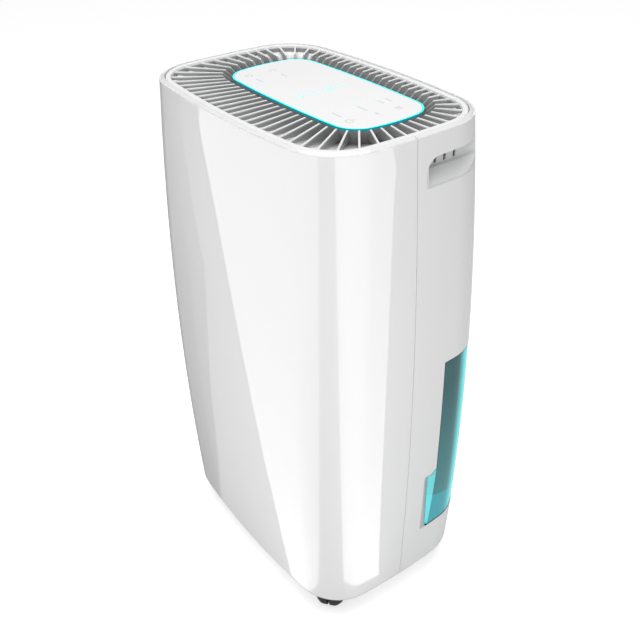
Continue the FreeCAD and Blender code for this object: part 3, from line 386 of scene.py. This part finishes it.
def tinted(name, deep, pale, low_tone, bright, transmission=0.25):
    """Tinted translucent plastic: deep on its flats, paler low down, a painted highlight where it turns, a
    painted glow.
    """
    material, nodes, links, shader = new_material(name)
    coordinates = nodes.new("ShaderNodeTexCoord")
    place, facing = nodes.new("ShaderNodeSeparateXYZ"), nodes.new("ShaderNodeSeparateXYZ")
    links.new(coordinates.outputs["Object"], place.inputs["Vector"])
    links.new(coordinates.outputs["Normal"], facing.inputs["Vector"])
    height = mapped(nodes, links, place.outputs["Z"], 0.11, 0.30)
    tone = add_ramp(nodes, links, height, [(0.0, pale), (1.0, deep)]).outputs["Color"]
    sloped = nodes.new("ShaderNodeMath")
    sloped.operation = "MULTIPLY_ADD"
    sloped.inputs[1].default_value = 0.35
    links.new(place.outputs["Y"], sloped.inputs[0])
    links.new(place.outputs["Z"], sloped.inputs[2])
    low_part = mapped(nodes, links, sloped.outputs["Value"], 0.1565, 0.1545)
    tone = mixed(nodes, links, low_part, tone, low_tone)
    # Painted highlight: faces turned to some angles take the bright colour in place of the tint.
    turned = mapped(nodes, links, facing.outputs["Y"], -1.0, 1.0)
    painted_edge_highlight = add_ramp(nodes, links, turned, [
        (0.0, (0.3,) * 3), (0.24, (0.55,) * 3), (0.33, (0.55,) * 3), (0.40, (0.0,) * 3),
        (0.62, (0.0,) * 3), (0.74, (1.0,) * 3), (0.86, (1.0,) * 3), (0.96, (0.1,) * 3)])
    tone = mixed(nodes, links, painted_edge_highlight.outputs["Color"], tone, bright)
    cloud = add_noise(nodes, links, 9.0)
    tone = mixed(nodes, links, 0.12, tone, cloud.outputs["Color"], "MULTIPLY")
    links.new(tone, shader.inputs["Base Color"])
    # Painted glow: the tint is also emitted, though the tank is no lamp.
    links.new(tone, shader.inputs["Emission Color"])
    shader.inputs["Emission Strength"].default_value = 0.22
    shader.inputs["Transmission Weight"].default_value = transmission
    shader.inputs["Roughness"].default_value = 0.12
    shader.inputs["IOR"].default_value = 1.5
    fine = add_noise(nodes, links, 300.0)
    add_bump(nodes, links, shader, fine.outputs["Fac"], 0.1, 0.00003)
    return material


def woven(name, color, thread=1400.0):
    """Fine square mesh, from two crossed waves."""
    material, nodes, links, shader = new_material(name)
    coordinates = nodes.new("ShaderNodeTexCoord")
    heights = []
    for direction in ("X", "Z"):
        wave = nodes.new("ShaderNodeTexWave")
        wave.bands_direction = direction
        wave.inputs["Scale"].default_value = thread / 6
        links.new(coordinates.outputs["Object"], wave.inputs["Vector"])
        heights.append(wave.outputs["Fac"])
    highest = nodes.new("ShaderNodeMath")
    highest.operation = "MAXIMUM"
    links.new(heights[0], highest.inputs[0])
    links.new(heights[1], highest.inputs[1])
    dark = tuple(channel * 0.25 for channel in color)
    ramp = add_ramp(nodes, links, highest.outputs["Value"], [(0.4, dark), (0.75, color)])
    links.new(ramp.outputs["Color"], shader.inputs["Base Color"])
    shader.inputs["Roughness"].default_value = 0.7
    add_bump(nodes, links, shader, highest.outputs["Value"], 0.5, 0.0002)
    return material


def make_materials():
    """One material for every slot of the record, and three for the grips, scoops and panel cover."""
    return {
        "white_gloss": moulded("casing_white", (0.80, 0.80, 0.80), 0.45, 0.006, grain=700.0,
                               grain_depth=0.00001, coat=1.0, coat_roughness=0.015, strength=0.03),
        "white_satin": moulded("grille_white", (0.82, 0.82, 0.82), 0.35, 0.01, grain=700.0,
                               grain_depth=0.00002, coat=0.4, coat_roughness=0.1, strength=0.1),
        "grey_plastic": moulded("grey_moulded", (0.42, 0.425, 0.43), 0.5, 0.02),
        "recess_grey": moulded("recess_light_grey", (0.72, 0.725, 0.73), 0.5, 0.02),
        "scoop_grey": moulded("scoop_grey", (0.50, 0.505, 0.51), 0.5, 0.02),
        # Whiter than the casing's white: partly a whiter plastic, partly painted light for the brightly lit
        # top.
        "cover_white": moulded("cover_white", (0.95, 0.95, 0.95), 0.3, 0.006, grain=700.0,
                               grain_depth=0.00001, coat=0.6, coat_roughness=0.05, strength=0.05),
        "light_guide": glowing("light_guide", (0.02, 0.75, 0.78), (0.0, 0.2, 0.23), 0.9),
        "circuit_board": moulded("circuit_board", (0.03, 0.16, 0.08), 0.35, 0.01),
        # The tank's tint carries a painted highlight where it turns and a painted glow.
        "tank_teal": tinted("tank_teal", deep=(0.008, 0.11, 0.12), pale=(0.03, 0.26, 0.28),
                            low_tone=(0.01, 0.38, 0.45), bright=(0.03, 0.92, 0.95)),
        "bay_plastic": moulded("bay_dark", (0.05, 0.055, 0.06), 0.5, 0.01),
        "foam": moulded("float_foam", (0.75, 0.73, 0.68), 0.9, 0.04, grain=400.0, grain_depth=0.0004,
                        coat_roughness=0.0, strength=0.6),
        "steel": metal("bright_steel", (0.62, 0.63, 0.64), 0.3, brushed=True),
        "mesh": woven("filter_weave", (0.10, 0.10, 0.11)),
        "coil_metal": metal("coil_aluminium", (0.72, 0.73, 0.74), 0.35, brushed=True),
        "fan_plastic": moulded("fan_black", (0.02, 0.02, 0.022), 0.5, 0.004),
        "motor_metal": metal("motor_can", (0.35, 0.36, 0.38), 0.4),
        "compressor_black": moulded("compressor_enamel", (0.012, 0.012, 0.014), 0.35, 0.003,
                                    grain=500.0, grain_depth=0.00008),
        "rubber": moulded("black_rubber", (0.018, 0.018, 0.018), 0.75, 0.004, grain=600.0,
                          grain_depth=0.0001),
        "copper": metal("copper_tube", (0.72, 0.36, 0.22), 0.28),
        "caster_plastic": moulded("caster_black", (0.012, 0.012, 0.013), 0.45, 0.004),
        "caster_tread": moulded("caster_wheel_black", (0.006, 0.006, 0.007), 0.5, 0.003, grain=500.0,
                                grain_depth=0.00005, coat=0.05, coat_roughness=0.1),
    }


def put_material(piece, material):
    piece.data.materials.clear()
    piece.data.materials.append(material)


def dress_cad_nodes(materials):
    """Every carried-over CAD node takes the material of its record slot."""
    slots = {entry["node"]: entry["material_slot"] for entry in frame["record"]["subparts"]}
    for name, piece in frame["nodes"].items():
        put_material(piece, materials[slots[name]])
    return slots


# ---------------------------------------------------------------- panel marks

def prism_faces(bm, outline, low, high):
    """A thin upright prism from a closed outline of (x, y) points."""
    bottom = [bm.verts.new((x, y, low)) for x, y in outline]
    top = [bm.verts.new((x, y, high)) for x, y in outline]
    bm.faces.new(top)
    bm.faces.new(bottom[::-1])
    for k, vert in enumerate(bottom):
        after = (k + 1) % len(bottom)
        bm.faces.new((vert, bottom[after], top[after], top[k]))


def disc(x, y, radius, sides=24):
    turns = [2 * math.pi * k / sides for k in range(sides)]
    return [(x + radius * math.cos(turn), y + radius * math.sin(turn)) for turn in turns]


def bar(x, y, width, height):
    return [(x - width / 2, y - height / 2), (x + width / 2, y - height / 2),
            (x + width / 2, y + height / 2), (x - width / 2, y + height / 2)]


def arc_band(x, y, radius, width, start, end, steps=20):
    """A curved band; angles are in degrees."""
    turns = [math.radians(start + (end - start) * k / steps) for k in range(steps + 1)]
    outer = [(x + radius * math.cos(turn), y + radius * math.sin(turn)) for turn in turns]
    inner = [(x + (radius - width) * math.cos(turn), y + (radius - width) * math.sin(turn))
             for turn in turns]
    return outer + inner[::-1]


# The lit bars of the digits that the panel shows.
SEGMENTS = {2: "abdeg", 5: "acdfg", 6: "acdefg"}


def digit(number, x, y, width=0.0042, height=0.0092, stroke=0.0011):
    """The bars of one seven-segment digit, centred at (x, y)."""
    half_w, half_h, reach = width / 2, height / 2, height / 2 - stroke * 0.6
    places = {
        "a": (x, y + half_h, width - stroke, stroke), "g": (x, y, width - stroke, stroke),
        "d": (x, y - half_h, width - stroke, stroke),
        "b": (x + half_w, y + half_h / 2, stroke, reach), "c": (x + half_w, y - half_h / 2, stroke, reach),
        "f": (x - half_w, y + half_h / 2, stroke, reach), "e": (x - half_w, y - half_h / 2, stroke, reach),
    }
    return [bar(*places[letter]) for letter in SEGMENTS[number]]


def mark_piece(name, outlines, material, rise=0.00006, sink=0.0001):
    """Thin printed marks that stand just proud of the panel cover."""
    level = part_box("panel_cover")[1].z
    bm = bmesh.new()
    for outline in outlines:
        prism_faces(bm, outline, level - sink, level + rise)
    bmesh.ops.recalc_face_normals(bm, faces=bm.faces)
    piece = make_piece(bm, name)
    put_material(piece, material)
    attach(piece, "casing")


def make_marks():
    """The panel's digits, dots, labels and icons, all at (x, y) on the panel cover."""
    cyan = glowing("mark_cyan", (0.25, 0.80, 0.85), (0.25, 0.80, 0.85), 0.5)
    pale = moulded("mark_grey", (0.55, 0.56, 0.57), 0.4, 0.01)
    half_pitch, thickness = 0.0033, 0.001
    digits = []
    for y, numbers in ((-0.0085, (5, 5)), (0.0265, (2, 6))):
        for x, number in zip((-half_pitch, half_pitch), numbers):
            digits += digit(number, x, y)
    digits += [bar(-0.001, 0.0072, 0.022, 0.0011), bar(0.001, 0.0405, 0.014, 0.0011)]
    mark_piece("panel_digits", digits, cyan)
    dot_places = ((-0.0572, -0.0143), (-0.0563, 0.0166),
                  (0.0542, -0.0145), (0.0548, 0.0154), (0.0552, 0.0405), (0.0555, 0.0501))
    mark_piece("panel_dots", [disc(x, y, 0.0012) for x, y in dot_places], cyan)
    labels = [bar(-0.0673, -0.0139, 0.012, thickness), bar(-0.0657, 0.0158, 0.011, thickness)]
    label_start = 0.0585
    for y, length in ((-0.0138, 0.014), (0.0156, 0.016), (0.0408, 0.010), (0.0505, 0.010)):
        labels.append(bar(label_start + length / 2, y, length, thickness))
    mark_piece("panel_labels", labels, pale)
    icons = [arc_band(-0.0874, -0.014, 0.004, 0.0007, 0, 330),
             arc_band(-0.0869, 0.0152, 0.004, 0.0007, 40, 320),
             arc_band(0.0856, -0.0145, 0.0042, 0.0008, 120, 420),
             bar(0.0856, -0.0108, 0.0008, 0.0046)]
    for k in range(3):
        icons.append(arc_band(0.0862, 0.0145, 0.0016 + 0.0016 * k, 0.0006, 45, 135))
    for k in range(3):
        icons.append(bar(0.0875, 0.0412 + 0.0022 * k, 0.008, 0.0008))
    mark_piece("panel_icons", icons, pale)


# ---------------------------------------------------------------- tank's gap

def on_barrel(point, inset):
    """The point moved level onto the barrel's surface, less an inset; and the level normal."""
    place = np.array([point], float)
    for _ in range(4):
        miss, normal = barrel_frame(place)
        flat = normal[0] * (1, 1, 0) / np.linalg.norm(normal[0, :2])
        place[0] -= flat * (miss[0] + inset)
    return Vector(place[0]), Vector(flat)


def ribbon(bm, path, half_width, inset, depth):
    """A thin strip that follows a path on the barrel and reaches in from it."""
    stations = [on_barrel(point, inset) for point in path]
    rings = []
    for k, (place, outward) in enumerate(stations):
        ahead, behind = stations[min(k + 1, len(path) - 1)][0], stations[max(k - 1, 0)][0]
        across = (ahead - behind).cross(outward).normalized() * half_width
        inner = place - outward * depth
        rings.append([bm.verts.new(corner) for corner in
                      (place + across, place - across, inner - across, inner + across)])
    for first, second in zip(rings, rings[1:]):
        for k in range(4):
            bm.faces.new((first[k], first[k - 3], second[k - 3], second[k]))
    bm.faces.new(rings[0])
    bm.faces.new(rings[-1][::-1])


def level_run(side, level, front, count=14):
    """Points from the side of the tank round its rear corner to the middle of the back."""
    corner_x, corner_y, radius, straights = 0.114, 0.058, 0.057, 6
    run = [(corner_x + radius, front + (corner_y - front) * k / straights) for k in range(straights)]
    run += [(corner_x + radius * math.cos(math.pi * k / 2 / count),
             corner_y + radius * math.sin(math.pi * k / 2 / count)) for k in range(count + 1)]
    run += [(corner_x * (1 - k / straights), corner_y + radius) for k in range(1, straights + 1)]
    return [(x * side, y, level) for x, y in run]


def make_gap(material):
    """A dark strip of painted shade in the gap between the tank and the rear casing."""
    low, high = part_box("tank_shell")[0].z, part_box("tank_lid")[1].z
    ear_high, ear_rise, tall_front, ear_front, middle = 0.177, 0.007, 0.0438, 0.0344, 0.0005
    half_width, steps = 0.172, 20
    bm = bmesh.new()
    for side in (-1, 1):
        x = half_width * side
        upper = level_run(side, high + middle, tall_front - middle)[::-1]
        bend_level = ear_high + ear_rise + middle
        upper += [(x, tall_front - middle, high + (bend_level - high) * k / steps)
                  for k in range(1, steps + 1)]
        upper.append((x, ear_front, ear_high + middle))
        lower = level_run(side, low - middle, ear_front)
        ribbon(bm, upper, GAP_SHADE_HALF_WIDTH, GAP_SHADE_INSET, GAP_SHADE_DEPTH)
        ribbon(bm, lower, GAP_SHADE_HALF_WIDTH, GAP_SHADE_INSET, GAP_SHADE_DEPTH)
    bmesh.ops.recalc_face_normals(bm, faces=bm.faces)
    piece = make_piece(bm, "tank_gap_shade")
    put_material(piece, material)
    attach(piece, "casing")


# ---------------------------------------------------------------- stage

def plane(name, corners, material):
    """A flat piece of the stage."""
    mesh = bpy.data.meshes.new(name)
    mesh.from_pydata(corners, [], [tuple(range(len(corners)))])
    piece = bpy.data.objects.new(name, mesh)
    SCENE.collection.objects.link(piece)
    piece.data.materials.append(material)
    return piece


def emission(name, level):
    material = bpy.data.materials.new(name)
    material.use_nodes = True
    nodes, links = material.node_tree.nodes, material.node_tree.links
    nodes.clear()
    glow = nodes.new("ShaderNodeEmission")
    glow.inputs["Color"].default_value = (level, level, level, 1)
    output = nodes.new("ShaderNodeOutputMaterial")
    links.new(glow.outputs["Emission"], output.inputs["Surface"])
    return material


def make_floor():
    """A pale floor, a little brighter to the camera than it is to the object."""
    material, nodes, links, shader = new_material("pale_floor")
    shader.inputs["Base Color"].default_value = (0.9, 0.9, 0.9, 1)
    shader.inputs["Roughness"].default_value = 0.95
    shader.inputs["Specular IOR Level"].default_value = 0.0
    shader.inputs["Emission Color"].default_value = (1, 1, 1, 1)
    path = nodes.new("ShaderNodeLightPath")
    lift = nodes.new("ShaderNodeMath")
    lift.operation = "MULTIPLY"
    lift.inputs[1].default_value = FLOOR_LIFT
    links.new(path.outputs["Is Camera Ray"], lift.inputs[0])
    links.new(lift.outputs["Value"], shader.inputs["Emission Strength"])
    size = FLOOR_HALF_SIZE
    corners = [(-size, -size, 0), (size, -size, 0), (size, size, 0), (-size, size, 0)]
    plane("floor", corners, material)


def reflection_card(name, outline, level, lift=0.001):
    """A card flat on the floor that only mirror-like reflections see."""
    card = plane(name, [(x, y, lift) for x, y in outline], emission(name, level))
    card.visible_camera = False
    card.visible_diffuse = False
    card.visible_shadow = False
    card.visible_transmission = False
    card.visible_volume_scatter = False


def bend(start, middle, end, steps=10):
    """Points along a quadratic curve that heads for its middle point and then for its end."""
    along = [k / steps for k in range(steps + 1)]
    return [tuple((1 - t) ** 2 * a + 2 * t * (1 - t) * b + t * t * c for a, b, c in zip(start, middle, end))
            for t in along]


def make_cards():
    """Long bright cards fan out at the front and the side, with plain floor between them, and two
    dim ones lie to the left."""
    front_left = bend((0.09, -0.114), (-0.545, -0.53), (-1.459, -0.854)) + [(-4.0, -1.85)]
    front_right = bend((0.138, -0.14), (0.2, -0.447), (0.854, -1.837)) + [(2.26, -4.82)]
    side_front = bend((0.2, -0.098), (0.475, -0.236), (1.662, -1.304)) + [(4.0, -3.41)]
    side_rear = bend((0.195, -0.011), (0.88, 0.434), (1.582, 0.989)) + [(4.0, 2.9)]
    shade_front = [(-0.1, -0.118), (-0.36, -0.2), (-0.78, -0.36), (-4.0, -1.3)]
    shade_rear = [(-0.1, 0.118), (-4.0, 1.2)]
    half_front = [(-0.1, -0.118), (-0.34, -0.225), (-0.74, -0.44), (-4.0, -1.48)]
    reflection_card("front_card", front_left + front_right[::-1], FRONT_CARD)
    reflection_card("side_card", side_front + side_rear[::-1], SIDE_CARD)
    reflection_card("shade_card", shade_front + shade_rear[::-1], SHADE_CARD)
    reflection_card("half_card", half_front + shade_front[::-1], HALF_CARD)


def area_light(name, location, target, size, power):
    data = bpy.data.lights.new(name, "AREA")
    data.shape = "RECTANGLE"
    data.size, data.size_y = size
    data.energy = power
    light = bpy.data.objects.new(name, data)
    light.location = location
    light.rotation_mode = "QUATERNION"
    light.rotation_quaternion = (Vector(target) - Vector(location)).to_track_quat("-Z", "Y")
    SCENE.collection.objects.link(light)


def make_world():
    """An even world, brighter to the camera than it is to the object."""
    world = bpy.data.worlds.new("studio")
    SCENE.world = world
    world.use_nodes = True
    background = world.node_tree.nodes["Background"]
    background.inputs["Color"].default_value = (1, 1, 1, 1)
    nodes, links = world.node_tree.nodes, world.node_tree.links
    lift = nodes.new("ShaderNodeMath")
    lift.operation = "MULTIPLY_ADD"
    lift.inputs[1].default_value = 1 - WORLD_LEVEL
    lift.inputs[2].default_value = WORLD_LEVEL
    links.new(nodes.new("ShaderNodeLightPath").outputs["Is Camera Ray"], lift.inputs[0])
    links.new(lift.outputs["Value"], background.inputs["Strength"])
    SCENE.view_settings.view_transform = "Standard"


# The photo's camera: angles in degrees, a turn about the target, and two shifts in its own plane.
CAMERA = {"azimuth": 54.483, "elevation": 33.551, "roll": -1.414, "distance": 0.98506,
          "target": (0, 0, 0.3156), "right": 0.00635, "up": -0.00052, "lens": 47.33}


def make_camera():
    azimuth, elevation = math.radians(CAMERA["azimuth"]), math.radians(CAMERA["elevation"])
    back = Vector((math.sin(azimuth) * math.cos(elevation), -math.cos(azimuth) * math.cos(elevation),
                   math.sin(elevation)))
    right = Vector((math.cos(azimuth), math.sin(azimuth), 0))
    up = back.cross(right)
    place = Vector(CAMERA["target"]) + back * CAMERA["distance"]
    place += right * CAMERA["right"] + up * CAMERA["up"]
    roll = math.radians(CAMERA["roll"])
    turned_right = right * math.cos(roll) + up * math.sin(roll)
    turned_up = up * math.cos(roll) - right * math.sin(roll)
    data = bpy.data.cameras.new("camera")
    data.lens = CAMERA["lens"]
    data.sensor_width = 36
    data.clip_start = 0.01
    camera = bpy.data.objects.new("camera", data)
    turn = Matrix((turned_right, turned_up, back)).transposed().to_4x4()
    camera.matrix_world = Matrix.Translation(place) @ turn
    SCENE.collection.objects.link(camera)
    SCENE.camera = camera


# ---------------------------------------------------------------- assembly

materials = make_materials()
slots = dress_cad_nodes(materials)
# Painted shade: the slats and the funnel under them are coloured darker the lower they lie.
put_material(frame["nodes"]["outlet_grille"],
             shadowed("grille_shadowed", (0.3, 0.305, 0.305), (0.85, 0.85, 0.85), SLAT_LEVELS))
put_material(frame["nodes"]["outlet_funnel"],
             shadowed("funnel_shadowed", (0.08, 0.08, 0.08), (0.95, 0.95, 0.95), FUNNEL_LEVELS))
for side in ("left", "right"):
    put_material(frame["nodes"][side + "_grip"], materials["recess_grey"])
    put_material(frame["nodes"][side + "_scoop"], materials["scoop_grey"])
# The panel cover's extra whiteness is partly painted light from above.
put_material(frame["nodes"]["panel_cover"], materials["cover_white"])
make_camera()
make_world()
make_floor()
make_cards()
area_light("overhead", (0.0, 0.0, 1.9), target=(0, 0, 0.4), size=(1.4, 1.4), power=OVERHEAD_POWER)
area_light("key", (1.45, -1.45, 1.4), target=(0, 0, 0.3), size=(1.2, 1.2), power=KEY_POWER)

# Finer skins in place of five CAD nodes: the inset from the barrel, and the crease angle.
SKINS = (("front_casing", 0.0, 32), ("rear_casing", 0.0, 32), ("inlet_grille", 0.0, 32),
         ("tank_shell", 0.0005, 12), ("tank_lid", 0.0005, 32))
for node, inset, crease in SKINS:
    piece = refined(node, node.replace("casing", "shell") + "_skin", inset=inset, crease=crease)
    put_material(piece, materials[slots[node]])
make_marks()
# The gap's painted shade: a dark strip in the black rubber material.
make_gap(materials["rubber"])
